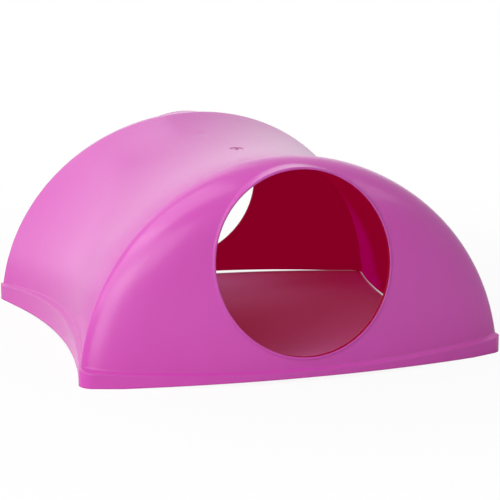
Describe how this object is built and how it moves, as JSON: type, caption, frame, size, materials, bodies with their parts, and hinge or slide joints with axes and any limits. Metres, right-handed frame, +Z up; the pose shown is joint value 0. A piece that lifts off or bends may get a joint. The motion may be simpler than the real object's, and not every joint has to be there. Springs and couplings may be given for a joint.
{
  "type": "rodent igloo",
  "caption": "Moulded plastic pet hide with a waisted vaulted roof, leaning domed end panels, a large round doorway in each, and a low skirt round the open base.",
  "frame": {"origin": "on the floor, under the middle of the shell", "axes": "+X across the arch, +Y along the tunnel from doorway to doorway, +Z up"},
  "size_m": [0.3008, 0.3328, 0.142],
  "materials": {
    "shell": "glossy, slightly translucent moulded plastic"
  },
  "bodies": {
    "root": {"shell": "shell"}
  },
  "joints": []
}
